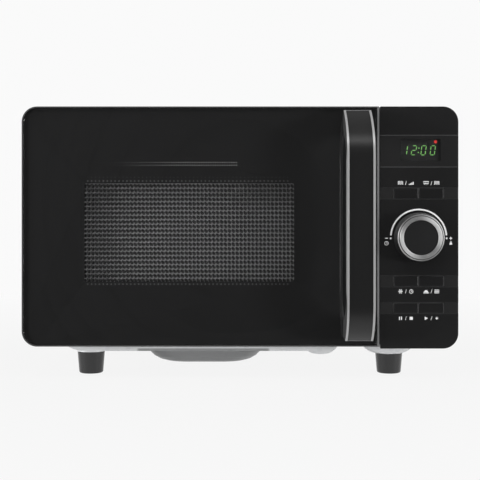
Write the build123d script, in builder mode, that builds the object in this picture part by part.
from build123d import *
import os
from math import cos, radians, sin, sqrt

os.makedirs("parts", exist_ok=True)

# Countertop microwave oven with a side-hung door, a turntable and a grill, in millimetres.
# Frame: +X to the user's right, the front faces -Y, +Z is up. The origin lies on the table, under
# the middle of the oven's outer box. "Depth" is always counted backwards from the oven's front face.

# ---------------------------------------------------------------------------------------------
# Driving sizes
# ---------------------------------------------------------------------------------------------

# whole oven
overall_width = 440
overall_height = 275
body_depth = 345            # from the front face to the tips of the rear spacers
handle_reach = 42           # the handle stands this far in front of the front face
corner_radius = 15.5        # the four outer corners of the front
panel_lift = 31             # lower edge of the control panel above the table
door_lift = 33              # lower edge of the door above the table
cabinet_lift = 34           # underside of the cabinet's folded edge above the table
cabinet_inset = 1.5         # the cabinet is this much smaller than the front, all round
sheet = 0.8                 # steel sheet of the cabinet, base, plates and cavity
fit_gap = 0.1               # between sheets that slip into each other
soft_gap = 0.3              # between pieces that move past each other

# front plate and cavity
plate_depth = 30            # front face of the cavity's front plate
cavity_side_gap = 32        # from the front's left edge to the inside of the cavity
bay_width = 108             # from the inside of the cavity to the front's right edge
cavity_floor_rise = 16      # the cavity's floor above the cabinet's underside
cavity_ceiling_drop = 17    # the cavity's ceiling below the top
cavity_rear_gap = 5.2       # from the inside of the cavity to the rear panel

# base plate
left_dish_z = 24.5
right_dish_z = 21.3
bump_z = 21.3
well_z = 4.6
foot_height = 23.0
foot_top_radius = 14.3
foot_sole_radius = 12.4
dish_inset = (33.5, 35)     # the dishes' outer edges, from the oven's left and right sides
dish_gap = (6.5, 12)        # the dishes' inner edges, to the left and right of the bay's wall
dish_end_gap = 6            # behind the dishes
dish_slope = 20             # a dish's curved wall reaches this far in, at its sides and rear
dish_front_slope = 1.0
dish_corner = 10
bump_width = 40
bump_length = 89
bump_slope = 16
bump_corner = 3.5
bump_gap = 2                # between the bump's right edge and the dish's
well_half_width = 64
well_reach = (110, 66)      # from the turntable's axis, towards the front and the rear
well_slope = 27
well_corner = 24
seat_clearance = 0.4        # feet in their pressed seats
foot_inset = 63.8           # feet, inwards from the oven's sides
foot_inset_rear = 36        # rear feet, in front of the rear panel
foot_bore_radius = 5
foot_floor = 6
foot_fillet = 2
front_foot_depth = 49

# door
panel_width = 78.8          # control panel beside the door
rim_edge = 1.5              # visible rim round the pane, left, top and bottom
rim_strip = 3.0             # visible rim at the pane's right side
wall = 2.5                  # door frame's outer wall
frame_depth = 24            # depth of the door frame's outer wall
pane_thickness = 3.2
mask_thickness = 0.3
web_thickness = 2.0         # the frame's web behind the pane
panel_gap = 0.8             # slit between the door and the control panel
choke_back = 26             # back edge of the steel inner panel
choke_width = 14            # the channel round the inner panel
plateau_depth = 21          # back face of the inner panel's middle
screen_thickness = 0.5
film_thickness = 1.0
choke_cover_thickness = 1.8
window_inset = (47, 68.4, 53, 54)   # screen inside the door: left, right, bottom, top
inner_inset = (23, 16.4, 8, 8)      # steel inner panel inside the door: left, right, bottom, top
inner_corner = 5
clear_margin = (16, 17.5, 12.5, 23.5)   # printed border over the screen: left, right, bottom, top

# hinges
hinge_inset = 10            # hinge axis from the door's left edge
hinge_depth = 14            # hinge axis behind the front face
arm_half_width = 5
arm_thickness = 2.5
arm_drop = 16               # hinge arms, inwards from the door's lower and upper edges
pin_radius = 2.5
pin_clearance = 0.05
pin_length = 7.5
bracket_thickness = 1.5
notch_gap = 1.0

# handle
handle_inset = 36.3         # the handle's left edge, inwards from the door's right edge
handle_width = 27.7
trim_width = 2.4
trim_stand = 0.6            # the trims stand this proud of the grip
grip_thickness = 10.5
handle_top_gap = 4          # below the door's upper edge
handle_bottom_gap = 8       # above the door's lower edge
handle_top_bend = 47
handle_bottom_bend = 38
handle_end_reach = 20       # the grip's lower end stands this far off the door
handle_screw_inset = (12, 14)       # screws, from the handle's lower and upper ends
screw_radius = 1.9
screw_head_radius = 3.8
screw_head_height = 2.2
screw_hole_radius = 2.1

# latch
latch_inset = 9.4           # latch bar, inwards from the door's right edge
latch_width = 6
latch_height = 122
latch_drop = 3              # the bar's middle below the door's middle
latch_front = 10
latch_thickness = 10
hook_width = 4
hook_height = 8
hook_reach = 46             # depth of the hook tips
hook_inset = (14, 16)       # hooks, inwards from the bar's lower and upper ends
hook_room = (3, 6)          # the hooks' slots, wider than the hooks to the left and right
latch_travel = 3.0
spring_radius = 2.6
spring_wire = 0.4
spring_length = 12
spring_turns = 6

# control panel
panel_wall = 3.0
display_drop = 61           # the display band's lower edge below the top
display_height = 32
lens_thickness = 1.6
digits_shift = (2, 0.5)     # clock digits, from the controls' middle line and the band's middle
module_width = 46
module_height = 24
module_thickness = 8
# of the panel's spare height: below the lower row, between the rows, and on each side of the knob
spare_shares = (0.357, 0.157, 0.1375)
controls_inset = 40         # middle line of the knob and buttons, from the right edge
button_spacing = 25.8
button_width = 24.4
button_height = 10
button_travel = 1.0
band_height = 11.6
band_depth = 0.4
board_depth = 14
board_thickness = 1.6
switch_height = 3.5
switch_nub = 1.3
knob_reach = 17.4
skirt_radius = 25
knob_tip_radius = 23.3
ring_inner_radius = 17.3
shaft_radius = 3.0
shaft_clearance = 0.05
bush_radius = 4.5

# turntable
tray_radius = 122.5
tray_thickness = 4.5
tray_rim_height = 12
wheel_radius = 7.0
wheel_gap = 0.2             # wheels below the tray and above the cavity's floor
wheel_width = 6
wheel_track = 97
ring_radius = 84
ring_width = 8
axle_radius = 2.0
coupler_reach = 20
coupler_arm_width = 8
motor_radius = 24.5
motor_height = 16
drive_radius = 3.5

# component bay
guide_width = 20            # waveguide, outward from the cavity wall
port_length = 54            # opening from the waveguide into the cavity
port_height = 34
port_drop = 2               # its upper edge below the magnetron
mica_thickness = 0.6
mica_margin = 8
magnetron_depth = 112
magnetron_length = 90
magnetron_width = 74
magnetron_drop = 88         # its underside below the cavity's ceiling
magnetron_height = 76
transformer_depth = 96
transformer_length = 92
transformer_shift = 46      # its middle, outwards from the inside of the cavity
transformer_width = 80
transformer_height = 78
capacitor_gap = 12          # between it and the rear panel
capacitor_length = 84
capacitor_shift = 44        # its middle, outwards from the inside of the cavity
capacitor_width = 50
capacitor_height = 32
fan_shift = 56              # its axis, outwards from the inside of the cavity
fan_rise = 11.25            # its axis above the cabinet's middle
fan_radius = 38
filter_board_reach = (40, 38)       # the filter board, to the left and right of the fan's axis
filter_board_drop = 16      # below the cabinet's top
filter_board_gap = 8        # in front of the rear panel
heater_radius = 3.2
heater_drop = 8             # grill tube's axis below the cavity ceiling
lamp_gap = 74               # between the lamp's middle and the rear panel
lamp_drop = 36              # below the cavity's ceiling
lamp_radius = 10

# rear
spacer_radius = 8
spacer_length = 7.4         # behind the cover's rear lip
rear_lip = 14
rear_screw_inset = 60       # side screws, from the cabinet's underside and top
lip_inset = 7               # rear screws, inwards from the cover's outline
vent_length = 26
vent_height = 3.6
vent_pitch = 8
gland_inset = 27.5          # from the oven's right side
gland_rise = 32             # above the cabinet's underside
gland_bore_radius = 3.7
gland_radius = 7.0
gland_flange_radius = 10.5
gland_length = 10

# ---------------------------------------------------------------------------------------------
# Sizes worked out from those above
# ---------------------------------------------------------------------------------------------

front_y = handle_reach - (body_depth + handle_reach) / 2
half_width = overall_width / 2
cover_half = half_width - cabinet_inset
cover_top = overall_height - cabinet_inset
cover_radius = corner_radius - cabinet_inset
flat_half = cover_half - cover_radius
base_bottom = cabinet_lift + sheet
base_top = base_bottom + sheet
rear_depth = body_depth - spacer_length - 2 * sheet
shell_front = plate_depth + sheet
cavity_left = -half_width + cavity_side_gap
cavity_right = half_width - bay_width
cavity_x = (cavity_left + cavity_right) / 2
cavity_floor = cabinet_lift + cavity_floor_rise
cavity_top = overall_height - cavity_ceiling_drop
cavity_back = rear_depth - cavity_rear_gap
turntable_depth = (shell_front + cavity_back) / 2

door_left = -half_width
door_right = half_width - panel_width - panel_gap
door_top = overall_height
pane_left = door_left + rim_edge
pane_right = door_right - rim_strip
pane_bottom = door_lift + rim_edge
pane_top = door_top - rim_edge
web_front = pane_thickness + mask_thickness
web_back = web_front + web_thickness
inner_left = door_left + inner_inset[0]
inner_right = door_right - inner_inset[1]
inner_bottom = door_lift + inner_inset[2]
inner_top = door_top - inner_inset[3]
hinge_x = door_left + hinge_inset
window_left = door_left + window_inset[0]
window_right = door_right - window_inset[1]
window_bottom = door_lift + window_inset[2]
window_top = door_top - window_inset[3]
panel_left = door_right + panel_gap
panel_right = half_width
handle_left = door_right - handle_inset
handle_top = door_top - handle_top_gap
handle_bottom = door_lift + handle_bottom_gap
handle_x = handle_left + handle_width / 2
handle_screw_z = (handle_bottom + handle_screw_inset[0], handle_top - handle_screw_inset[1])
latch_x = door_right - latch_inset
latch_bottom = (door_lift + door_top - latch_height) / 2 - latch_drop
hook_levels = (latch_bottom + hook_inset[0], latch_bottom + latch_height - hook_inset[1])

# The display band hangs from the top. Below it the panel's spare height is shared out between
# the upper row of buttons, the knob and the two lower rows.
controls_x = panel_right - controls_inset
display_bottom = overall_height - display_drop
digits_x = controls_x + digits_shift[0]
digits_z = display_bottom + display_height / 2 + digits_shift[1]
spare = display_bottom - panel_lift - 3 * band_height - 2 * skirt_radius
lower_row = panel_lift + spare_shares[0] * spare + band_height / 2
middle_row = lower_row + spare_shares[1] * spare + band_height
knob_z = middle_row + band_height / 2 + spare_shares[2] * spare + skirt_radius
upper_row = knob_z + skirt_radius + spare_shares[2] * spare + band_height / 2
button_rows = (lower_row, middle_row, upper_row)

magnetron_base = cavity_top - magnetron_drop
transformer_x = cavity_right + transformer_shift
capacitor_x = cavity_right + capacitor_shift
capacitor_depth = rear_depth - capacitor_gap - capacitor_length
fan_x = cavity_right + fan_shift
fan_z = (cabinet_lift + cover_top) / 2 + fan_rise
lamp_depth = rear_depth - lamp_gap
lamp_z = cavity_top - lamp_drop
gland_x = half_width - gland_inset
gland_z = cabinet_lift + gland_rise
foot_x = half_width - foot_inset
rear_foot_depth = rear_depth - foot_inset_rear

board_back = board_depth + board_thickness
axle_z = cavity_floor + wheel_radius + wheel_gap
tray_z = axle_z + wheel_radius + wheel_gap
bay_left = cavity_right + sheet


# a pressed wall's outlines lie at these shares of its height, closest where it curves most
wall_levels = (0, 0.04, 0.16, 0.36, 0.64, 1)


# ---------------------------------------------------------------------------------------------
# Helpers
# ---------------------------------------------------------------------------------------------

def upright(depth):
    """Plane across the oven at a depth, seen from the front: x is right and y is up."""
    return Plane.XZ.offset(-(front_y + depth))


def block(x_span, depth_span, z_span, mode=Mode.ADD):
    """Straight block between two values of x, of depth and of z."""
    middle = (
        sum(x_span) / 2,
        front_y + sum(depth_span) / 2,
        sum(z_span) / 2,
    )
    with Locations(middle):
        Box(x_span[1] - x_span[0], depth_span[1] - depth_span[0], z_span[1] - z_span[0], mode=mode)


def post(x, z, radius, depth_span, mode=Mode.ADD):
    """Round bar or bore that runs front to back between two depths."""
    with Locations(Location((x, front_y + sum(depth_span) / 2, z), (90, 0, 0))):
        Cylinder(radius, depth_span[1] - depth_span[0], mode=mode)


def pillar(x, depth, radius, z_span, mode=Mode.ADD):
    """Round bar or bore that stands upright between two heights."""
    with Locations((x, front_y + depth, sum(z_span) / 2)):
        Cylinder(radius, z_span[1] - z_span[0], mode=mode)


def outline(x_span, y_span, left_radius=0, right_radius=0, mode=Mode.ADD):
    """Rectangle whose left corners and right corners have their own radii."""
    with BuildSketch() as blank:
        with Locations((sum(x_span) / 2, sum(y_span) / 2)):
            Rectangle(x_span[1] - x_span[0], y_span[1] - y_span[0])
        if left_radius:
            fillet(blank.vertices().group_by(Axis.X)[0], left_radius)
        if right_radius:
            fillet(blank.vertices().group_by(Axis.X)[-1], right_radius)
    add(blank.sketch, mode=mode)


def cabinet_outline(inset, mode=Mode.ADD):
    """Rounded outline of the cabinet, drawn in by an inset."""
    radius = max(cover_radius - inset, 0)
    across = (-cover_half + inset, cover_half - inset)
    outline(across, (cabinet_lift + inset, cover_top - inset), radius, radius, mode)


def door_outline(inset, mode=Mode.ADD):
    """Outline of the door, drawn in by an inset: only its left corners are round."""
    across = (door_left + inset, door_right - inset)
    outline(across, (door_lift + inset, door_top - inset), corner_radius - inset, 1.0, mode)


def inner_outline(inset, mode=Mode.ADD):
    """Outline of the door's steel inner panel, drawn in by an inset."""
    across = (inner_left + inset, inner_right - inset)
    outline(across, (inner_bottom + inset, inner_top - inset), inner_corner, inner_corner, mode)


def window_outline(margin, mode=Mode.ADD):
    """Outline of the see-through screen, let out by a margin."""
    across = (window_left - margin, window_right + margin)
    outline(across, (window_bottom - margin, window_top + margin), 3, 3, mode)


def dish(x_span, depth_span, slopes, radius, z_top, z_bottom):
    """Outlines of a pressed dish from its mouth down: its walls curve in to meet a flat floor."""
    slope, front_slope = slopes
    fall = z_top - z_bottom
    wall_radius = (slope**2 + fall**2) / (2 * fall)
    sections = []
    for share in wall_levels:
        rise = share * fall
        draw_in = slope - sqrt(2 * wall_radius * rise - rise**2)
        with BuildSketch(Plane.XY.offset(z_bottom + rise)) as section:
            front = depth_span[0] + draw_in * front_slope / slope
            back = depth_span[1] - draw_in
            with Locations((sum(x_span) / 2, front_y + (front + back) / 2)):
                RectangleRounded(x_span[1] - x_span[0] - 2 * draw_in, back - front, radius)
        sections.append(section.sketch.face())
    return sections


# ---------------------------------------------------------------------------------------------
# Cabinet: base plate, outer cover, rear panel, front plate
# ---------------------------------------------------------------------------------------------

dish_span = (shell_front + 5 * fit_gap, rear_depth - dish_end_gap)
left_dish = ((dish_inset[0] - half_width, cavity_right - dish_gap[0]), dish_span)
right_dish = ((cavity_right + dish_gap[1], half_width - dish_inset[1]), dish_span)
bump_right = left_dish[0][1] - bump_gap
bump_front = dish_span[0] + fit_gap
bump = ((bump_right - bump_width, bump_right), (bump_front, bump_front + bump_length))
well = (
    (cavity_x - well_half_width, cavity_x + well_half_width),
    (turntable_depth - well_reach[0], turntable_depth + well_reach[1]),
)
lip_edge = half_width - min(dish_inset) + 2
dish_slopes = (dish_slope, dish_front_slope)
bump_slopes = (bump_slope, dish_front_slope)
well_slopes = (well_slope, well_slope)
pressings = (
    (left_dish, dish_slopes, dish_corner, 0, left_dish_z),
    (right_dish, dish_slopes, dish_corner, 0, right_dish_z),
    (bump, bump_slopes, bump_corner, 0, bump_z),
    (well, well_slopes, well_corner, base_bottom - left_dish_z, well_z),
)
foot_places = [
    (x, depth)
    for x in (-foot_x, foot_x)
    for depth in (front_foot_depth, rear_foot_depth)
]

with BuildPart() as base_plate:
    block((-flat_half, flat_half), (shell_front, rear_depth), (base_bottom, base_top))
    for (x_span, depth_span), slopes, radius, drop, floor_z in pressings:
        mouth_z = base_bottom + sheet / 2 - drop
        loft(dish(x_span, depth_span, slopes, radius, mouth_z, floor_z), ruled=True)
    for (x_span, depth_span), slopes, radius, drop, floor_z in pressings:
        inside_x = (x_span[0] + sheet, x_span[1] - sheet)
        inside_depth = (depth_span[0] + sheet, depth_span[1] - sheet)
        mouth_z = base_top + sheet / 2 - drop
        hollow = dish(inside_x, inside_depth, slopes, radius - sheet, mouth_z, floor_z + sheet)
        loft(hollow, ruled=True, mode=Mode.SUBTRACT)
    # level seats for the four feet, pressed down in the left dish and up in the right one
    for x, depth in foot_places:
        seat_radius = foot_top_radius + seat_clearance
        dish_z = left_dish_z if x < 0 else right_dish_z
        low, high = sorted((dish_z, foot_height))
        pillar(x, depth, seat_radius + sheet, (low, high + sheet))
        pillar(x, depth, seat_radius, (high + sheet, high + 3 * sheet), Mode.SUBTRACT)
        if x > 0:
            pillar(x, depth, seat_radius, (dish_z - 1, foot_height), Mode.SUBTRACT)
        else:
            pillar(x, depth, seat_radius, (foot_height + sheet, dish_z + 2 * sheet), Mode.SUBTRACT)
        pillar(x, depth, screw_hole_radius, (foot_height - 1, foot_height + 3), Mode.SUBTRACT)
    # air slots between the transformer and the capacitor
    slot_depth = (transformer_depth + transformer_length + capacitor_depth) / 2
    with BuildSketch(Plane.XY.offset(base_top)):
        with Locations((sum(right_dish[0]) / 2, front_y + slot_depth)):
            with GridLocations(1, vent_pitch, 1, 6):
                SlotOverall(vent_length, vent_height)
    extrude(amount=-(base_top - right_dish_z + 1), mode=Mode.SUBTRACT)
base_plate.part.label = "base_plate"
export_step(base_plate.part, "parts/base_plate.step")

cover_back = rear_depth + 2 * sheet
rear_screws = [
    (-cover_half + lip_inset, cabinet_lift + rear_screw_inset),
    (-cover_half + lip_inset, cover_top - rear_screw_inset),
    (cover_half - lip_inset, cabinet_lift + rear_screw_inset),
    (cover_half - lip_inset, cover_top - rear_screw_inset),
    (-cover_half / 2, cover_top - lip_inset),
    (cover_half / 2, cover_top - lip_inset),
]

with BuildPart() as outer_cover:
    with BuildSketch(upright(plate_depth)):
        cabinet_outline(0)
        cabinet_outline(sheet, Mode.SUBTRACT)
    extrude(amount=-(cover_back - plate_depth))
    # turned-in lip behind the rear panel
    with BuildSketch(upright(rear_depth + sheet)):
        cabinet_outline(sheet / 2)
        cabinet_outline(rear_lip, Mode.SUBTRACT)
    extrude(amount=-sheet)
    # open underneath, between two folded-in edges that carry the base plate
    block(
        (-lip_edge, lip_edge),
        (plate_depth - 1, cover_back + 1),
        (cabinet_lift - 1, cabinet_lift + rear_lip + 1),
        Mode.SUBTRACT,
    )
    for x, z in rear_screws:
        post(x, z, screw_hole_radius, (rear_depth, cover_back + 1), Mode.SUBTRACT)
    # air slots in both sides, towards the back on the right and in the middle on the left
    for side, slot_depth, rows in ((1, rear_depth - 86, 9), (-1, turntable_depth, 5)):
        with BuildSketch(Plane.YZ.offset(side * (cover_half + 1))):
            with Locations((front_y + slot_depth, fan_z)):
                with GridLocations(vent_length + 8, vent_pitch, 3, rows):
                    SlotOverall(vent_length, vent_height)
        extrude(amount=-side * (sheet + 2), mode=Mode.SUBTRACT)
outer_cover.part.label = "outer_cover"
export_step(outer_cover.part, "parts/outer_cover.step")

with BuildPart() as rear_panel:
    with BuildSketch(upright(rear_depth)):
        cabinet_outline(sheet + fit_gap)
        # air slots behind the fan, and a block of them behind the cavity
        for x, z, columns, rows in ((fan_x, fan_z, 2, 8), (cavity_x - 60, cavity_top - 58, 3, 5)):
            with Locations((x, z)):
                with GridLocations(vent_length + 8, vent_pitch, columns, rows):
                    SlotOverall(vent_length, vent_height, mode=Mode.SUBTRACT)
        with Locations((gland_x, gland_z)):
            Circle(gland_radius + fit_gap, mode=Mode.SUBTRACT)
        with Locations(rear_screws):
            Circle(screw_radius + fit_gap, mode=Mode.SUBTRACT)
    extrude(amount=-sheet)
    # pressed spacers that keep the oven off the wall
    for x in (cavity_x - 100, cavity_x + 100):
        post(x, cavity_floor + 60, spacer_radius, (rear_depth + sheet / 2, body_depth))
rear_panel.part.label = "rear_panel"
export_step(rear_panel.part, "parts/rear_panel.step")

hook_slot = (latch_x - hook_width / 2 - hook_room[0], latch_x + hook_width / 2 + hook_room[1])
arm_levels = (
    (door_lift + arm_drop, door_lift + arm_drop + arm_thickness),
    (door_top - arm_drop - arm_thickness, door_top - arm_drop),
)
arm_span = (hinge_x - arm_half_width, hinge_x + arm_half_width)

with BuildPart() as front_plate:
    with BuildSketch(upright(plate_depth)):
        cabinet_outline(sheet + fit_gap)
        outline((cavity_left, cavity_right), (cavity_floor, cavity_top), 2, 2, Mode.SUBTRACT)
        # way through for the panel's wires
        wiring_x = (panel_left + 12, panel_right - 16)
        outline(wiring_x, (panel_lift + 29, overall_height - 30), 6, 6, Mode.SUBTRACT)
        for z in hook_levels:
            outline(hook_slot, (z - 7, z + hook_height + latch_travel + 2), 1, 1, Mode.SUBTRACT)
        for z_low, z_high in arm_levels:
            arm_slot = (arm_span[0] - soft_gap, arm_span[1] + soft_gap)
            outline(arm_slot, (z_low - soft_gap, z_high + soft_gap), 0, 0, Mode.SUBTRACT)
    extrude(amount=-sheet)
front_plate.part.label = "front_plate"
export_step(front_plate.part, "parts/front_plate.step")

# ---------------------------------------------------------------------------------------------
# Cavity with its fittings
# ---------------------------------------------------------------------------------------------

port_start = magnetron_depth + (magnetron_length - port_length) / 2
port_span = (port_start, port_start + port_length)
port_z = (magnetron_base - port_drop - port_height, magnetron_base - port_drop)
heater_z = cavity_top - heater_drop
heater_legs = (turntable_depth - 32, turntable_depth + 32)
heater_turn_x = cavity_left + 62

with BuildPart() as cavity_shell:
    block(
        (cavity_left - sheet, bay_left),
        (shell_front, cavity_back + sheet),
        (cavity_floor - sheet, cavity_top + sheet),
    )
    block(
        (cavity_left, cavity_right),
        (shell_front - 1, cavity_back),
        (cavity_floor, cavity_top),
        Mode.SUBTRACT,
    )
    block((cavity_right - 1, bay_left + 1), port_span, port_z, Mode.SUBTRACT)
    drive_span = (cavity_floor - 2, cavity_floor + 1)
    pillar(cavity_x, turntable_depth, drive_radius + 1.5, drive_span, Mode.SUBTRACT)
    for depth in heater_legs:
        with Locations(Location((cavity_right, front_y + depth, heater_z), (0, 90, 0))):
            Cylinder(heater_radius + fit_gap, 6, mode=Mode.SUBTRACT)
    # air slots: steam leaves through the left wall, lamp light enters through the right one
    for x, depth, z, rows in (
        (cavity_left, turntable_depth, cavity_top - 38, 4),
        (cavity_right, lamp_depth, lamp_z, 3),
    ):
        with BuildSketch(Plane.YZ.offset(x - 3)):
            with Locations((front_y + depth, z)):
                with GridLocations(1, 6, 1, rows):
                    SlotOverall(20, 2.6)
        extrude(amount=6, mode=Mode.SUBTRACT)
cavity_shell.part.label = "cavity_shell"
export_step(cavity_shell.part, "parts/cavity_shell.step")

guide_right = bay_left + guide_width
guide_span = (magnetron_depth + 6, magnetron_depth + magnetron_length - 6)
guide_z = (port_z[0] - 6, magnetron_base + magnetron_height)
antenna_z = magnetron_base + magnetron_height / 2
antenna_depth = magnetron_depth + magnetron_length / 2

with BuildPart() as waveguide:
    block((bay_left, guide_right), guide_span, guide_z)
    inside_span = (guide_span[0] + sheet, guide_span[1] - sheet)
    inside_z = (guide_z[0] + sheet, guide_z[1] - sheet)
    block((bay_left - 1, guide_right - sheet), inside_span, inside_z, Mode.SUBTRACT)
    with Locations(Location((guide_right, front_y + antenna_depth, antenna_z), (0, 90, 0))):
        Cylinder(13, 6, mode=Mode.SUBTRACT)
waveguide.part.label = "waveguide"
export_step(waveguide.part, "parts/waveguide.step")

with BuildPart() as waveguide_cover:
    mica_span = (port_span[0] - mica_margin, port_span[1] + mica_margin)
    mica_z = (port_z[0] - mica_margin, port_z[1] + mica_margin)
    block((cavity_right - mica_thickness, cavity_right), mica_span, mica_z)
waveguide_cover.part.label = "waveguide_cover"
export_step(waveguide_cover.part, "parts/waveguide_cover.step")

with BuildPart() as grill_heater:
    turn_radius = (heater_legs[1] - heater_legs[0]) / 2
    with BuildLine(Plane.XY.offset(heater_z)):
        front_leg = front_y + heater_legs[0]
        back_leg = front_y + heater_legs[1]
        Line((bay_left + 5, front_leg), (heater_turn_x, front_leg))
        ThreePointArc(
            (heater_turn_x, front_leg),
            (heater_turn_x - turn_radius, front_y + turntable_depth),
            (heater_turn_x, back_leg),
        )
        Line((heater_turn_x, back_leg), (bay_left + 5, back_leg))
    with BuildSketch(Plane(origin=(bay_left + 5, front_leg, heater_z), z_dir=(-1, 0, 0))):
        Circle(heater_radius)
    sweep()
    # clip that hangs the tube's turn from the ceiling
    block(
        (heater_turn_x - turn_radius - 1, heater_turn_x - turn_radius + 1),
        (turntable_depth - 6, turntable_depth + 6),
        (heater_z, cavity_top),
    )
grill_heater.part.label = "grill_heater"
export_step(grill_heater.part, "parts/grill_heater.step")

motor_top = cavity_floor - sheet
with BuildPart() as turntable_motor:
    pillar(cavity_x, turntable_depth, motor_radius, (motor_top - motor_height, motor_top))
    lug_span = (turntable_depth - 5, turntable_depth + 5)
    lug_reach = motor_radius + 9
    block((cavity_x - lug_reach, cavity_x + lug_reach), lug_span, (motor_top - 1.5, motor_top))
    # socket for the drive shaft
    socket = (motor_top - motor_height + 4, motor_top + 1)
    pillar(cavity_x, turntable_depth, drive_radius + shaft_clearance, socket, Mode.SUBTRACT)
turntable_motor.part.label = "turntable_motor"
export_step(turntable_motor.part, "parts/turntable_motor.step")

with BuildPart() as cavity_lamp:
    # holder on the cavity wall, then the bulb in front of it
    lamp_x = bay_left + lamp_radius + 2
    holder_span = (lamp_depth - 3 * lamp_radius, lamp_depth - 1.6 * lamp_radius)
    holder_half = 1.2 * lamp_radius
    block((bay_left, lamp_x + lamp_radius), holder_span, (lamp_z - holder_half, lamp_z + holder_half))
    post(lamp_x, lamp_z, 0.55 * lamp_radius, (holder_span[1] - 1, lamp_depth))
    with Locations((lamp_x, front_y + lamp_depth, lamp_z)):
        Sphere(lamp_radius)
cavity_lamp.part.label = "cavity_lamp"
export_step(cavity_lamp.part, "parts/cavity_lamp.step")

# ---------------------------------------------------------------------------------------------
# Component bay: magnetron, transformer, capacitor, fan, filter board, latch board
# ---------------------------------------------------------------------------------------------

yoke_sheet = 1.5
yoke_right = guide_right + magnetron_width
magnetron_span = (magnetron_depth, magnetron_depth + magnetron_length)
magnetron_z = (magnetron_base, magnetron_base + magnetron_height)
antenna_radius = 8

with BuildPart() as magnetron_yoke:
    block((guide_right, yoke_right), magnetron_span, magnetron_z)
    inside_x = (guide_right + yoke_sheet, yoke_right - yoke_sheet)
    inside_z = (magnetron_z[0] + yoke_sheet, magnetron_z[1] - yoke_sheet)
    air_way = (magnetron_span[0] - 1, magnetron_span[1] + 1)
    block(inside_x, air_way, inside_z, Mode.SUBTRACT)
    with Locations(Location((guide_right, front_y + antenna_depth, antenna_z), (0, 90, 0))):
        Cylinder(antenna_radius + 2, 6, mode=Mode.SUBTRACT)
magnetron_yoke.part.label = "magnetron_yoke"
export_step(magnetron_yoke.part, "parts/magnetron_yoke.step")

anode_radius = 18
fin_count = 6
fin_thickness = 1.0
with BuildPart() as magnetron_anode:
    anode_x = (inside_x[0] + inside_x[1]) / 2
    antenna_tip = bay_left + 7
    with Locations(Location((anode_x, front_y + antenna_depth, antenna_z), (0, 90, 0))):
        Cylinder(anode_radius, inside_x[1] - inside_x[0])
    antenna_middle = (antenna_tip + anode_x) / 2
    with Locations(Location((antenna_middle, front_y + antenna_depth, antenna_z), (0, 90, 0))):
        Cylinder(antenna_radius, anode_x - antenna_tip)
    with Locations((anode_x, front_y + antenna_depth, antenna_z)):
        with GridLocations(9, 1, fin_count, 1):
            Box(fin_thickness, magnetron_length - 12, inside_z[1] - inside_z[0])
magnetron_anode.part.label = "magnetron_anode"
export_step(magnetron_anode.part, "parts/magnetron_anode.step")

core_limb = 18
core_window = 15
core_thickness = 50
core_foot = 2
core_span = (transformer_depth, transformer_depth + transformer_length)
core_x = (transformer_x - core_thickness / 2, transformer_x + core_thickness / 2)
core_z = (base_top + core_foot, base_top + transformer_height)
with BuildPart() as transformer_core:
    foot_x_span = (transformer_x - transformer_width / 2, transformer_x + transformer_width / 2)
    block(foot_x_span, core_span, (base_top, base_top + core_foot))
    block(core_x, core_span, core_z)
    for window_start in (core_span[0] + core_limb, core_span[1] - core_limb - core_window):
        window_span = (window_start, window_start + core_window)
        window_z = (core_z[0] + core_limb, core_z[1] - core_limb)
        block((core_x[0] - 1, core_x[1] + 1), window_span, window_z, Mode.SUBTRACT)
transformer_core.part.label = "transformer_core"
export_step(transformer_core.part, "parts/transformer_core.step")

winding_gap = 0.3
coil_split = 1.5
with BuildPart() as transformer_windings:
    coil_span = (core_span[0] + core_limb + winding_gap, core_span[1] - core_limb - winding_gap)
    limb_inset = core_window - 2 * winding_gap
    limb_span = (coil_span[0] + limb_inset, coil_span[1] - limb_inset)
    coil_low = core_z[0] + core_limb + winding_gap
    coil_high = core_z[1] - core_limb - winding_gap
    coil_middle = (coil_low + coil_high) / 2
    for coil_z in ((coil_low, coil_middle - coil_split), (coil_middle + coil_split, coil_high)):
        wide_x = (core_x[0] - core_window + 2, core_x[1] + core_window - 2)
        block(wide_x, coil_span, coil_z)
        limb_x = (core_x[0] - winding_gap, core_x[1] + winding_gap)
        block(limb_x, limb_span, (coil_z[0] - 1, coil_z[1] + 1), Mode.SUBTRACT)
    fillet(transformer_windings.edges().filter_by(Axis.Z).group_by(Axis.X)[0], 4)
    fillet(transformer_windings.edges().filter_by(Axis.Z).group_by(Axis.X)[-1], 4)
transformer_windings.part.label = "transformer_windings"
export_step(transformer_windings.part, "parts/transformer_windings.step")

strap = 1.2
capacitor_z = base_top + strap + capacitor_height / 2
with BuildPart() as capacitor:
    with BuildSketch(upright(capacitor_depth)):
        with Locations((capacitor_x, capacitor_z)):
            RectangleRounded(capacitor_width, capacitor_height, capacitor_height / 2 - 0.1)
    extrude(amount=-capacitor_length)
    # two tab terminals on its front end
    for x in (capacitor_x - 10, capacitor_x + 10):
        tab_span = (capacitor_depth - 9, capacitor_depth)
        block((x - 3, x + 3), tab_span, (capacitor_z - 0.5, capacitor_z + 0.5))
capacitor.part.label = "capacitor"
export_step(capacitor.part, "parts/capacitor.step")

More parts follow.
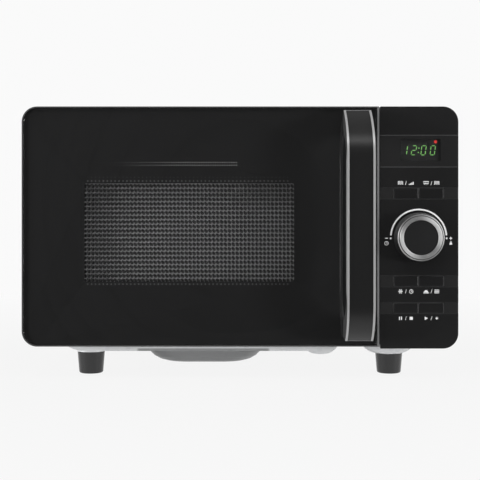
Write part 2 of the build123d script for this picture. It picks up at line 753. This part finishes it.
with BuildPart() as capacitor_clamp:
    clamp_depth = capacitor_depth + capacitor_length / 2
    foot_x_span = (capacitor_x - transformer_width / 2, capacitor_x + transformer_width / 2)
    block(foot_x_span, (clamp_depth - 8, clamp_depth + 8), (base_top, base_top + strap))
    with BuildSketch(upright(clamp_depth - 8)):
        with Locations((capacitor_x, capacitor_z)):
            outer_radius = capacitor_height / 2 + strap - 0.1
            RectangleRounded(capacitor_width + 2 * strap, capacitor_height + 2 * strap, outer_radius)
            inner_radius = capacitor_height / 2 - 0.1
            RectangleRounded(capacitor_width, capacitor_height, inner_radius, mode=Mode.SUBTRACT)
    extrude(amount=-16)
capacitor_clamp.part.label = "capacitor_clamp"
export_step(capacitor_clamp.part, "parts/capacitor_clamp.step")

shroud_half = fan_radius + 5
shroud_front = rear_depth - 18
with BuildPart() as fan_shroud:
    shroud_x = (fan_x - shroud_half, fan_x + shroud_half)
    shroud_z = (fan_z - shroud_half, fan_z + shroud_half)
    block(shroud_x, (shroud_front, rear_depth), shroud_z)
    post(fan_x, fan_z, fan_radius + 2, (shroud_front - 1, rear_depth + 1), Mode.SUBTRACT)
    # bar across the front that carries the motor
    block(shroud_x, (shroud_front, shroud_front + 3), (fan_z - 8, fan_z + 8))
    post(fan_x, fan_z, 3, (shroud_front - 1, shroud_front + 4), Mode.SUBTRACT)
fan_shroud.part.label = "fan_shroud"
export_step(fan_shroud.part, "parts/fan_shroud.step")

fan_shaft_radius = 1.5
fan_motor_depth = shroud_front - 22
with BuildPart() as fan_motor:
    stack_span = (fan_motor_depth + 4, fan_motor_depth + 18)
    block((fan_x - 24, fan_x + 24), stack_span, (fan_z - 16, fan_z + 16))
    post(fan_x, fan_z, 12, (fan_motor_depth, shroud_front))
    shaft_bore = (fan_motor_depth + 3, shroud_front + 1)
    post(fan_x, fan_z, fan_shaft_radius + shaft_clearance, shaft_bore, Mode.SUBTRACT)
fan_motor.part.label = "fan_motor"
export_step(fan_motor.part, "parts/fan_motor.step")

blade_count = 5
blade_pitch_angle = 32
with BuildPart() as fan_rotor:
    hub_span = (shroud_front + 4.5, rear_depth - 3)
    post(fan_x, fan_z, fan_shaft_radius, (fan_motor_depth + 4, hub_span[1]))
    post(fan_x, fan_z, 9, hub_span)
    blade_depth = front_y + sum(hub_span) / 2
    blade_length = fan_radius - 8
    for step in range(blade_count):
        turn = 360 / blade_count * step
        blade_middle = 8 + blade_length / 2
        x = fan_x + blade_middle * sin(radians(turn))
        z = fan_z + blade_middle * cos(radians(turn))
        with Locations(Location((x, blade_depth, z), (0, turn, 0)) * Rotation(0, 0, blade_pitch_angle)):
            Box(18, 1.2, blade_length)
fan_rotor.part.label = "fan_rotor"
export_step(fan_rotor.part, "parts/fan_rotor.step")

board_x = (fan_x - filter_board_reach[0], fan_x + filter_board_reach[1])
board_z = (fan_z + shroud_half + 6, cover_top - filter_board_drop)
filter_depth = rear_depth - filter_board_gap
with BuildPart() as filter_board:
    block(board_x, (filter_depth, filter_depth + board_thickness), board_z)
    for x in (board_x[0] + 5, board_x[1] - 5):
        for z in (board_z[0] + 5, board_z[1] - 5):
            post(x, z, 2.5, (filter_depth + 1, rear_depth))
    # noise filter coil, film capacitor and fuse
    post(fan_x - 20, sum(board_z) / 2, 12, (filter_depth - 14, filter_depth))
    post(fan_x - 20, sum(board_z) / 2, 5, (filter_depth - 15, filter_depth - 3), Mode.SUBTRACT)
    block((fan_x + 2, fan_x + 26), (filter_depth - 15, filter_depth), (board_z[0] + 6, board_z[0] + 18))
    block((fan_x + 2, fan_x + 24), (filter_depth - 6, filter_depth), (board_z[1] - 12, board_z[1] - 6))
filter_board.part.label = "filter_board"
export_step(filter_board.part, "parts/filter_board.step")

latch_board_x = (latch_x - 14, latch_x + 15)
latch_board_z = (latch_bottom - 12, latch_bottom + latch_height + 10)
barb_drop = 4
ledge_gap = 0.3
switch_depth = hook_reach + 3
switch_size = (6, 10, 20)
switch_drop = 6
with BuildPart() as latch_board:
    block(latch_board_x, (shell_front, shell_front + 3), latch_board_z)
    for x in (latch_board_x[0], latch_board_x[1] - 2):
        block((x, x + 2), (shell_front, switch_depth + switch_size[1] + 1), latch_board_z)
    for z in hook_levels:
        slot_z = (z - barb_drop - ledge_gap, z + hook_height + latch_travel + 2)
        block(hook_slot, (shell_front - 1, shell_front + 4), slot_z, Mode.SUBTRACT)
        # ledge that the hook's barb rides over and drops behind
        block(latch_board_x, (shell_front, hook_reach - 8), (slot_z[0] - 3, slot_z[0]))
        # shelf under the switches
        shelf_z = (z - switch_drop - 2, z - switch_drop)
        block(latch_board_x, (switch_depth - 1, switch_depth + switch_size[1] + 1), shelf_z)
latch_board.part.label = "latch_board"
export_step(latch_board.part, "parts/latch_board.step")

with BuildPart() as door_switches:
    for x, z in (
        (latch_x, hook_levels[0]),
        (latch_x + 8, hook_levels[0]),
        (latch_x, hook_levels[1]),
    ):
        switch_x = (x - switch_size[0] / 2, x + switch_size[0] / 2)
        switch_z = (z - switch_drop, z - switch_drop + switch_size[2])
        block(switch_x, (switch_depth, switch_depth + switch_size[1]), switch_z)
        post(x, z + hook_height / 2, 1.2, (switch_depth - 1.5, switch_depth + 1))
        # tab terminals at the back
        for tab_z in (z - 2, z + 10):
            tab_span = (switch_depth + switch_size[1], switch_depth + switch_size[1] + 7)
            block((x - 0.4, x + 0.4), tab_span, (tab_z - 1.6, tab_z + 1.6))
door_switches.part.label = "door_switches"
export_step(door_switches.part, "parts/door_switches.step")

# ---------------------------------------------------------------------------------------------
# Hinges, feet, screws and the gland
# ---------------------------------------------------------------------------------------------

for hinge_name, (arm_low, arm_high), inward in (
    ("lower_hinge", arm_levels[0], 1),
    ("upper_hinge", arm_levels[1], -1),
):
    with BuildPart() as hinge:
        # arm through the front plate, rounded about the pin
        block(arm_span, (hinge_depth, shell_front + bracket_thickness), (arm_low, arm_high))
        pillar(hinge_x, hinge_depth, arm_half_width, (arm_low, arm_high))
        # bracket against the back of the front plate
        bracket_z = (arm_low, arm_high + 26) if inward > 0 else (arm_low - 26, arm_high)
        bracket_x = (arm_span[0], arm_span[1] + 4)
        block(bracket_x, (shell_front, shell_front + bracket_thickness), bracket_z)
        # pin that the door turns on
        pin_base = arm_high if inward > 0 else arm_low
        pin_z = sorted((pin_base - inward, pin_base + inward * pin_length))
        pillar(hinge_x, hinge_depth, pin_radius, pin_z)
    hinge.part.label = hinge_name
    export_step(hinge.part, "parts/" + hinge_name + ".step")

with BuildPart() as feet:
    for x, depth in foot_places:
        with Locations((x, front_y + depth, foot_height / 2)):
            Cone(foot_sole_radius, foot_top_radius, foot_height)
    fillet(feet.edges().group_by(Axis.Z)[0], foot_fillet)
    for x, depth in foot_places:
        pillar(x, depth, foot_bore_radius, (-1, foot_height - foot_floor), Mode.SUBTRACT)
        pillar(x, depth, screw_hole_radius, (0, foot_height + 1), Mode.SUBTRACT)
feet.part.label = "feet"
export_step(feet.part, "parts/feet.step")

screw_length = 8
with BuildPart() as cabinet_screws:
    for x, z in rear_screws:
        shank = (cover_back - screw_length, cover_back + 0.5)
        post(x, z, screw_radius, shank)
        post(x, z, screw_head_radius, (cover_back, cover_back + screw_head_height))
    for x, depth in foot_places:
        head_top = foot_height - foot_floor
        pillar(x, depth, screw_radius, (head_top - 0.5, foot_height + 3))
        pillar(x, depth, screw_head_radius, (head_top - screw_head_height, head_top))
cabinet_screws.part.label = "cabinet_screws"
export_step(cabinet_screws.part, "parts/cabinet_screws.step")

with BuildPart() as cord_gland:
    neck = (rear_depth - 5, rear_depth + sheet + gland_length - 3.5)
    post(gland_x, gland_z, gland_radius, neck)
    post(gland_x, gland_z, gland_flange_radius, (rear_depth + sheet, rear_depth + sheet + 2))
    post(gland_x, gland_z, gland_flange_radius, (rear_depth - 5, rear_depth - 2.5))
    fillet(cord_gland.edges().group_by(Axis.Y)[-1], 1)
    post(gland_x, gland_z, gland_bore_radius, (rear_depth - 10, rear_depth + 20), Mode.SUBTRACT)
cord_gland.part.label = "cord_gland"
export_step(cord_gland.part, "parts/cord_gland.step")

# ---------------------------------------------------------------------------------------------
# Door
# ---------------------------------------------------------------------------------------------

with BuildPart() as door_frame:
    with BuildSketch(upright(0)):
        door_outline(0)
    extrude(amount=-frame_depth)
    # pocket for the pane and its printed mask
    with BuildSketch(upright(0)):
        pocket_x = (pane_left - fit_gap, pane_right + fit_gap)
        pocket_z = (pane_bottom - fit_gap, pane_top + fit_gap)
        outline(pocket_x, pocket_z, corner_radius - rim_edge, 0.5)
    extrude(amount=-web_front, mode=Mode.SUBTRACT)
    # hollow back
    with BuildSketch(upright(web_back)):
        door_outline(wall)
    extrude(amount=-frame_depth, mode=Mode.SUBTRACT)
    with BuildSketch(upright(0)):
        window_outline(5)
    extrude(amount=-frame_depth, mode=Mode.SUBTRACT)
    # notches that the hinge arms turn in
    for arm_low, arm_high in arm_levels:
        notch_x = (door_left - 1, arm_span[1] + notch_gap)
        notch_depth = (web_back + soft_gap, frame_depth + 1)
        block(notch_x, notch_depth, (arm_low - notch_gap, arm_high + notch_gap), Mode.SUBTRACT)
    # ribs in front of the latch bar, its lower stop, and the seat of its spring
    latch_x_span = (latch_x - latch_width / 2, latch_x + latch_width / 2)
    for rib_z in (latch_bottom + 30, latch_bottom + latch_height - 30):
        block(latch_x_span, (web_back - 1, latch_front - soft_gap), (rib_z, rib_z + 4))
    stop_depth = (web_back - 1, latch_front + latch_thickness)
    block(latch_x_span, stop_depth, (latch_bottom - 6, latch_bottom - ledge_gap))
    spring_top = latch_bottom + latch_height + spring_length
    block(latch_x_span, stop_depth, (spring_top, spring_top + 4))
    for z in handle_screw_z:
        post(handle_x, z, screw_hole_radius, (-1, frame_depth), Mode.SUBTRACT)
door_frame.part.label = "door_frame"
export_step(door_frame.part, "parts/door_frame.step")

with BuildPart() as door_glass:
    with BuildSketch(upright(0)):
        outline((pane_left, pane_right), (pane_bottom, pane_top), corner_radius - rim_edge - 0.1, 0.5)
        with Locations(*[(handle_x, z) for z in handle_screw_z]):
            Circle(screw_radius + 1, mode=Mode.SUBTRACT)
    extrude(amount=-pane_thickness)
    chamfer(door_glass.faces().sort_by(Axis.Y)[0].outer_wire().edges(), 0.4)
door_glass.part.label = "door_glass"
export_step(door_glass.part, "parts/door_glass.step")

# printed mask on the back of the pane, open over the clear part of the window
with BuildPart() as window_mask:
    with BuildSketch(upright(pane_thickness)):
        mask_x = (pane_left + 1, pane_right - 1)
        outline(mask_x, (pane_bottom + 1, pane_top - 1), corner_radius - rim_edge - 1, 0.5)
        clear_x = (window_left + clear_margin[0], window_right - clear_margin[1])
        clear_z = (window_bottom + clear_margin[2], window_top - clear_margin[3])
        outline(clear_x, clear_z, 2, 2, Mode.SUBTRACT)
        with Locations(*[(handle_x, z) for z in handle_screw_z]):
            Circle(screw_radius + 1, mode=Mode.SUBTRACT)
    extrude(amount=-mask_thickness)
window_mask.part.label = "window_mask"
export_step(window_mask.part, "parts/window_mask.step")

tab_thickness = 2
tab_radius = 5.2
tab_levels = (
    (arm_levels[0][1] + soft_gap, arm_levels[0][1] + soft_gap + tab_thickness),
    (arm_levels[1][0] - soft_gap - tab_thickness, arm_levels[1][0] - soft_gap),
)
with BuildPart() as inner_panel:
    # outer wall of the choke channel
    with BuildSketch(upright(web_back)):
        inner_outline(0)
        inner_outline(sheet, Mode.SUBTRACT)
    extrude(amount=-(choke_back - web_back))
    # floor of the channel, towards the door's front
    with BuildSketch(upright(web_back)):
        inner_outline(0)
        inner_outline(choke_width, Mode.SUBTRACT)
        with Locations(*[(handle_x, z) for z in handle_screw_z]):
            Circle(screw_hole_radius, mode=Mode.SUBTRACT)
    extrude(amount=-sheet)
    # inner wall of the channel
    with BuildSketch(upright(web_back)):
        inner_outline(choke_width - sheet)
        inner_outline(choke_width, Mode.SUBTRACT)
    extrude(amount=-(plateau_depth - web_back))
    # middle of the panel, with the window cut out of it
    with BuildSketch(upright(plateau_depth - sheet)):
        inner_outline(choke_width - sheet)
        window_outline(0, Mode.SUBTRACT)
    extrude(amount=-sheet)
    # tabs that hang the door on the hinge pins
    for tab_z in tab_levels:
        tab_depth = (hinge_depth - tab_radius, hinge_depth + tab_radius)
        block((hinge_x, inner_left + sheet / 2), tab_depth, tab_z)
        pillar(hinge_x, hinge_depth, tab_radius, tab_z)
        bore_z = (tab_z[0] - 1, tab_z[1] + 1)
        pillar(hinge_x, hinge_depth, pin_radius + pin_clearance, bore_z, Mode.SUBTRACT)
inner_panel.part.label = "inner_panel"
export_step(inner_panel.part, "parts/inner_panel.step")

screen_front = plateau_depth - sheet - screen_thickness
with BuildPart() as window_screen:
    with BuildSketch(upright(screen_front)):
        window_outline(4)
    extrude(amount=-screen_thickness)
window_screen.part.label = "window_screen"
export_step(window_screen.part, "parts/window_screen.step")

with BuildPart() as inner_window:
    with BuildSketch(upright(plateau_depth)):
        window_outline(4)
    extrude(amount=-film_thickness)
inner_window.part.label = "inner_window"
export_step(inner_window.part, "parts/inner_window.step")

with BuildPart() as choke_cover:
    with BuildSketch(upright(choke_back)):
        inner_outline(0)
        inner_outline(choke_width + 4, Mode.SUBTRACT)
    extrude(amount=-choke_cover_thickness)
    with BuildSketch(upright(plateau_depth)):
        inner_outline(choke_width + 2)
        inner_outline(choke_width + 4, Mode.SUBTRACT)
    extrude(amount=-(choke_back - plateau_depth))
    fillet(choke_cover.faces().sort_by(Axis.Y)[-1].outer_wire().edges(), 1)
choke_cover.part.label = "choke_cover"
export_step(choke_cover.part, "parts/choke_cover.step")


def grip_profile(stand_back):
    """Side view of the handle, drawn in by a small step from its outer edge."""
    reach = handle_reach - stand_back
    inner_reach = handle_reach - trim_stand - grip_thickness
    top = handle_top - stand_back
    bottom = handle_bottom + stand_back
    with BuildSketch(Plane.YZ) as profile:
        with BuildLine() as edge:
            high_bend = top - handle_top_bend
            low_bend = bottom + handle_bottom_bend
            high_foot = handle_top - 20
            low_foot = handle_bottom + 18
            Line((front_y, top), (front_y - 3, top))
            Bezier(
                (front_y - 3, top),
                (front_y - reach, top - handle_top_bend * 0.42),
                (front_y - reach, high_bend),
            )
            Line((front_y - reach, high_bend), (front_y - reach, low_bend))
            Bezier(
                (front_y - reach, low_bend),
                (front_y - reach, bottom + handle_bottom_bend * 0.4),
                (front_y - handle_end_reach, bottom),
            )
            Line((front_y - handle_end_reach, bottom), (front_y, bottom + 2))
            Line((front_y, bottom + 2), (front_y, low_foot))
            Bezier(
                (front_y, low_foot),
                (front_y - inner_reach, low_foot + 8),
                (front_y - inner_reach, low_bend + 8),
            )
            Line((front_y - inner_reach, low_bend + 8), (front_y - inner_reach, high_bend - 2))
            Bezier(
                (front_y - inner_reach, high_bend - 2),
                (front_y - inner_reach, high_foot - 14),
                (front_y, high_foot),
            )
            Line((front_y, high_foot), (front_y, top))
        make_face()
    return profile.sketch


grip_left = handle_left + trim_width
grip_right = handle_left + handle_width - trim_width
with BuildPart() as handle_bar:
    extrude(Pos(grip_left, 0, 0) * grip_profile(trim_stand), amount=grip_right - grip_left)
    for z in handle_screw_z:
        post(handle_x, z, screw_radius + fit_gap, (-12, 1), Mode.SUBTRACT)
handle_bar.part.label = "handle_bar"
export_step(handle_bar.part, "parts/handle_bar.step")

with BuildPart() as handle_trims:
    for x in (handle_left, grip_right):
        extrude(Pos(x, 0, 0) * grip_profile(0), amount=trim_width)
handle_trims.part.label = "handle_trims"
export_step(handle_trims.part, "parts/handle_trims.step")

with BuildPart() as handle_screws:
    for z in handle_screw_z:
        head_depth = web_back + sheet
        post(handle_x, z, screw_radius, (-10, head_depth + 0.5))
        post(handle_x, z, screw_head_radius, (head_depth, head_depth + screw_head_height))
handle_screws.part.label = "handle_screws"
export_step(handle_screws.part, "parts/handle_screws.step")

with BuildPart() as latch_bar:
    latch_top = latch_bottom + latch_height
    latch_span = (latch_front, latch_front + latch_thickness)
    block(latch_x_span, latch_span, (latch_bottom, latch_top))
    hook_x = (latch_x - hook_width / 2, latch_x + hook_width / 2)
    for z in hook_levels:
        block(hook_x, (latch_span[1] - 1, hook_reach), (z, z + hook_height))
        block(hook_x, (hook_reach - 6, hook_reach), (z - barb_drop, z + 1))
latch_bar.part.label = "latch_bar"
export_step(latch_bar.part, "parts/latch_bar.step")

spring_depth = latch_front + latch_thickness / 2
with BuildPart() as latch_spring:
    spring_base = latch_top + spring_wire + 0.05
    coil_height = spring_length - 2 * spring_wire - 0.1
    with BuildLine(Plane(origin=(latch_x, front_y + spring_depth, spring_base))):
        coil = Helix(coil_height / spring_turns, coil_height, spring_radius)
    with BuildSketch(Plane(origin=coil @ 0, z_dir=coil % 0)):
        Circle(spring_wire)
    sweep(path=coil, is_frenet=True)
latch_spring.part.label = "latch_spring"
export_step(latch_spring.part, "parts/latch_spring.step")

# ---------------------------------------------------------------------------------------------
# Control panel
# ---------------------------------------------------------------------------------------------

button_opening = (button_width + 2 * soft_gap, button_height + 2 * soft_gap)
lens_front = 0.1
lens_back = lens_front + lens_thickness
display_top = display_bottom + display_height
board_span_x = (panel_left + 8, panel_right - 9)
board_span_z = (panel_lift + 25, overall_height - 23)
post_inset = 4
board_posts = [
    (x, z)
    for x in (board_span_x[0] + post_inset, board_span_x[1] - post_inset)
    for z in (board_span_z[0] + post_inset, board_span_z[1] - post_inset)
]

with BuildPart() as control_panel:
    with BuildSketch(upright(0)):
        outline((panel_left, panel_right), (panel_lift, overall_height), 1, corner_radius)
    extrude(amount=-plate_depth)
    with BuildSketch(upright(panel_wall)):
        inside_x = (panel_left + wall, panel_right - wall)
        inside_z = (panel_lift + wall, overall_height - wall)
        outline(inside_x, inside_z, 1, corner_radius - wall)
    extrude(amount=-plate_depth, mode=Mode.SUBTRACT)
    # seat of the display lens, and the opening behind it
    lens_seat_x = (panel_left + 0.5, panel_right - 0.5)
    lens_seat_z = (display_bottom - fit_gap, display_top + fit_gap)
    block(lens_seat_x, (-1, lens_back), lens_seat_z, Mode.SUBTRACT)
    module_seat_x = (digits_x - module_width / 2 - soft_gap, digits_x + module_width / 2 + soft_gap)
    module_seat_z = (digits_z - module_height / 2 - soft_gap, digits_z + module_height / 2 + soft_gap)
    block(module_seat_x, (0, panel_wall + 1), module_seat_z, Mode.SUBTRACT)
    for row_z in button_rows:
        band_z = (row_z - band_height / 2, row_z + band_height / 2)
        block((panel_left - 1, panel_right + 1), (-1, band_depth), band_z, Mode.SUBTRACT)
        with Locations((controls_x, front_y + panel_wall / 2, row_z)):
            with GridLocations(button_spacing, 1, 2, 1):
                Box(button_opening[0], panel_wall + 2, button_opening[1], mode=Mode.SUBTRACT)
    post(controls_x, knob_z, bush_radius + 0.2, (-1, panel_wall + 1), Mode.SUBTRACT)
    for x, z in board_posts:
        post(x, z, 3, (panel_wall - 1, board_depth))
control_panel.part.label = "control_panel"
export_step(control_panel.part, "parts/control_panel.step")

with BuildPart() as display_lens:
    lens_x = (lens_seat_x[0] + fit_gap, lens_seat_x[1] - fit_gap)
    block(lens_x, (lens_front, lens_back), (display_bottom, display_top))
display_lens.part.label = "display_lens"
export_step(display_lens.part, "parts/display_lens.step")

with BuildPart() as display_module:
    module_front = lens_back + fit_gap
    module_x = (digits_x - module_width / 2, digits_x + module_width / 2)
    module_z = (digits_z - module_height / 2, digits_z + module_height / 2)
    block(module_x, (module_front, module_front + module_thickness), module_z)
    for z in (module_z[0] + 3, module_z[1] - 3):
        pins = (module_front + module_thickness - 1, board_depth)
        block((module_x[0] + 3, module_x[1] - 3), pins, (z - 1, z + 1))
display_module.part.label = "display_module"
export_step(display_module.part, "parts/display_module.step")

with BuildPart() as control_board:
    block(board_span_x, (board_depth, board_back), board_span_z)
    # relay, buzzer and small transformer on the back
    tall_span = (board_back - 0.1, board_back + 12)
    relay_z = (lower_row - 2, lower_row + 24)
    block((board_span_x[0] + 6, board_span_x[0] + 24), tall_span, relay_z)
    post(board_span_x[1] - 14, lower_row + 12, 8, (board_back - 0.1, board_back + 9))
    block((board_span_x[0] + 10, board_span_x[1] - 12), tall_span, (upper_row - 11, upper_row + 19))
control_board.part.label = "control_board"
export_step(control_board.part, "parts/control_board.step")

encoder_front = 7
with BuildPart() as encoder:
    block((controls_x - 7, controls_x + 7), (encoder_front, board_depth), (knob_z - 7, knob_z + 7))
    post(controls_x, knob_z, bush_radius, (0, encoder_front + 0.5))
    post(controls_x, knob_z, shaft_radius + shaft_clearance, (-1, board_depth - 1.5), Mode.SUBTRACT)
encoder.part.label = "encoder"
export_step(encoder.part, "parts/encoder.step")

with BuildPart() as button_switches:
    for row_z in button_rows:
        for x in (controls_x - button_spacing / 2, controls_x + button_spacing / 2):
            block((x - 3, x + 3), (board_depth - switch_height, board_depth), (row_z - 3, row_z + 3))
            nub = (board_depth - switch_height - switch_nub, board_depth - switch_height + 0.5)
            post(x, row_z, 1.7, nub)
button_switches.part.label = "button_switches"
export_step(button_switches.part, "parts/button_switches.step")

# each button: cap in its opening, flange behind the panel's wall, stem towards its switch
button_names = (
    ("stop_button", "start_button"),
    ("defrost_button", "menu_button"),
    ("power_button", "grill_button"),
)
button_front = 0.1
flange_front = panel_wall + soft_gap
stem_end = board_depth - switch_height - switch_nub - button_travel - 0.15
for row_z, row_names in zip(button_rows, button_names):
    for button_name, side in zip(row_names, (-1, 1)):
        middle = controls_x + side * button_spacing / 2
        cap_x = (middle - button_width / 2, middle + button_width / 2)
        cap_z = (row_z - button_height / 2, row_z + button_height / 2)
        with BuildPart() as button:
            block(cap_x, (button_front, flange_front + 0.5), cap_z)
            fillet(button.faces().sort_by(Axis.Y)[0].edges(), 0.6)
            block(cap_x, (flange_front, flange_front + 1.2), (cap_z[0] - 1.2, cap_z[1] + 1.2))
            block((middle - 2.5, middle + 2.5), (flange_front, stem_end), (row_z - 2.5, row_z + 2.5))
        button.part.label = button_name
        export_step(button.part, "parts/" + button_name + ".step")

# ---------------------------------------------------------------------------------------------
# Knob
# ---------------------------------------------------------------------------------------------

knob_back = 0.8             # gap between the skirt and the panel
ring_depth = 2.4            # the bright ring's height above the cap's shoulder
shaft_end = 12.5
hub_radius = 6.5
shell_thickness = 2.2
cap_top = knob_reach - ring_depth
dish_top = knob_reach - 1.2
knob_plane = Plane(origin=(controls_x, front_y, knob_z), x_dir=(1, 0, 0), z_dir=(0, 0, 1))
with BuildPart() as knob_cap:
    with BuildSketch(knob_plane):
        with BuildLine():
            Polyline(
                (0, -dish_top),
                (ring_inner_radius - 0.2, -dish_top),
                (ring_inner_radius - 0.2, -cap_top),
                (knob_tip_radius, -cap_top),
                (skirt_radius, -knob_back - 2),
                (skirt_radius, -knob_back),
                (skirt_radius - shell_thickness, -knob_back),
                (knob_tip_radius - shell_thickness, -cap_top + shell_thickness),
                (hub_radius, -cap_top + shell_thickness),
                (hub_radius, -knob_back - 0.4),
                (shaft_radius + shaft_clearance, -knob_back - 0.4),
                (shaft_radius + shaft_clearance, -shaft_end - 0.1),
                (0, -shaft_end - 0.1),
                close=True,
            )
        make_face()
    revolve(axis=Axis((controls_x, front_y, knob_z), (0, 1, 0)))
    front_rims = knob_cap.edges().filter_by(GeomType.CIRCLE).group_by(Axis.Y)[0]
    fillet(front_rims.sort_by(SortBy.RADIUS)[-1], 0.6)
knob_cap.part.label = "knob_cap"
export_step(knob_cap.part, "parts/knob_cap.step")

with BuildPart() as knob_ring:
    with BuildSketch(knob_plane):
        with BuildLine():
            Polyline(
                (ring_inner_radius, -cap_top),
                (ring_inner_radius, -knob_reach + 0.9),
                (ring_inner_radius + 0.5, -knob_reach + 0.2),
                (ring_inner_radius + 1.6, -knob_reach),
                (knob_tip_radius - 2.4, -knob_reach),
                (knob_tip_radius - 1.7, -knob_reach + 0.7),
                (knob_tip_radius - 0.5, -knob_reach + 0.9),
                (knob_tip_radius, -knob_reach + 1.5),
                (knob_tip_radius, -cap_top),
                close=True,
            )
        make_face()
    revolve(axis=Axis((controls_x, front_y, knob_z), (0, 1, 0)))
knob_ring.part.label = "knob_ring"
export_step(knob_ring.part, "parts/knob_ring.step")

with BuildPart() as encoder_shaft:
    post(controls_x, knob_z, shaft_radius, (-shaft_end, board_depth - 2))
encoder_shaft.part.label = "encoder_shaft"
export_step(encoder_shaft.part, "parts/encoder_shaft.step")

# ---------------------------------------------------------------------------------------------
# Turntable
# ---------------------------------------------------------------------------------------------

arm_count = 3
coupler_bottom = cavity_floor + 0.5
coupler_top = tray_z - soft_gap
with BuildPart() as turntable_coupler:
    pillar(cavity_x, turntable_depth, drive_radius, (motor_top - motor_height + 4.5, coupler_bottom + 1))
    pillar(cavity_x, turntable_depth, 9, (coupler_bottom, coupler_top))
    with Locations((cavity_x, front_y + turntable_depth, coupler_top - 3)):
        with PolarLocations(coupler_reach / 2, arm_count):
            Box(coupler_reach, coupler_arm_width, 6)
turntable_coupler.part.label = "turntable_coupler"
export_step(turntable_coupler.part, "parts/turntable_coupler.step")

ring_outer = ring_radius + ring_width / 2
ring_inner = ring_radius - ring_width / 2
axle_end = wheel_track + wheel_width / 2 + soft_gap + 1.4
with BuildPart() as roller_ring:
    pillar(cavity_x, turntable_depth, ring_outer, (axle_z - 2.5, axle_z + 2.5))
    pillar(cavity_x, turntable_depth, ring_inner, (axle_z - 3, axle_z + 3), Mode.SUBTRACT)
    with Locations((cavity_x, front_y + turntable_depth, axle_z)):
        with PolarLocations(0, arm_count):
            with Locations(Location(((ring_radius + axle_end) / 2, 0, 0), (0, 90, 0))):
                Cylinder(axle_radius, axle_end - ring_radius)
            with Locations(Location((axle_end - 0.7, 0, 0), (0, 90, 0))):
                Cylinder(axle_radius + 1, 1.4)
roller_ring.part.label = "roller_ring"
export_step(roller_ring.part, "parts/roller_ring.step")

for number in range(arm_count):
    turn = 360 / arm_count * number
    wheel_x = cavity_x + wheel_track * cos(radians(turn))
    wheel_y = front_y + turntable_depth + wheel_track * sin(radians(turn))
    outward = (cos(radians(turn)), sin(radians(turn)), 0)
    wheel_name = "roller_wheel_" + str(number + 1)
    with BuildPart() as roller_wheel:
        with BuildSketch(Plane(origin=(wheel_x, wheel_y, axle_z), z_dir=outward)):
            Circle(wheel_radius)
            Circle(axle_radius + 0.08, mode=Mode.SUBTRACT)
        extrude(amount=wheel_width / 2, both=True)
        rims = roller_wheel.edges().filter_by(GeomType.CIRCLE).sort_by(SortBy.RADIUS)[-2:]
        chamfer(rims, 0.6)
    roller_wheel.part.label = wheel_name
    export_step(roller_wheel.part, "parts/" + wheel_name + ".step")

tray_plane = Plane(origin=(cavity_x, front_y + turntable_depth, 0), x_dir=(1, 0, 0), z_dir=(0, -1, 0))
stud_track = 13
stud_height = 3
with BuildPart() as glass_tray:
    with BuildSketch(tray_plane):
        with BuildLine():
            flat_radius = tray_radius - 16
            rim_z = tray_z + tray_rim_height
            Line((0, tray_z), (flat_radius, tray_z))
            Bezier((flat_radius, tray_z), (tray_radius - 7, tray_z + 1), (tray_radius, rim_z))
            Line((tray_radius, rim_z), (tray_radius - 4, rim_z))
            Bezier(
                (tray_radius - 4, rim_z),
                (tray_radius - 9, tray_z + tray_thickness),
                (flat_radius - 4, tray_z + tray_thickness),
            )
            Line((flat_radius - 4, tray_z + tray_thickness), (0, tray_z + tray_thickness))
            Line((0, tray_z + tray_thickness), (0, tray_z))
        make_face()
    revolve(axis=Axis((cavity_x, front_y + turntable_depth, 0), (0, 0, 1)))
    # studs that stand between the coupler's arms
    with Locations((cavity_x, front_y + turntable_depth, tray_z - stud_height / 2 + 0.2)):
        with PolarLocations(stud_track, arm_count, start_angle=180 / arm_count):
            Cylinder(3, stud_height + 0.4)
glass_tray.part.label = "glass_tray"
export_step(glass_tray.part, "parts/glass_tray.step")
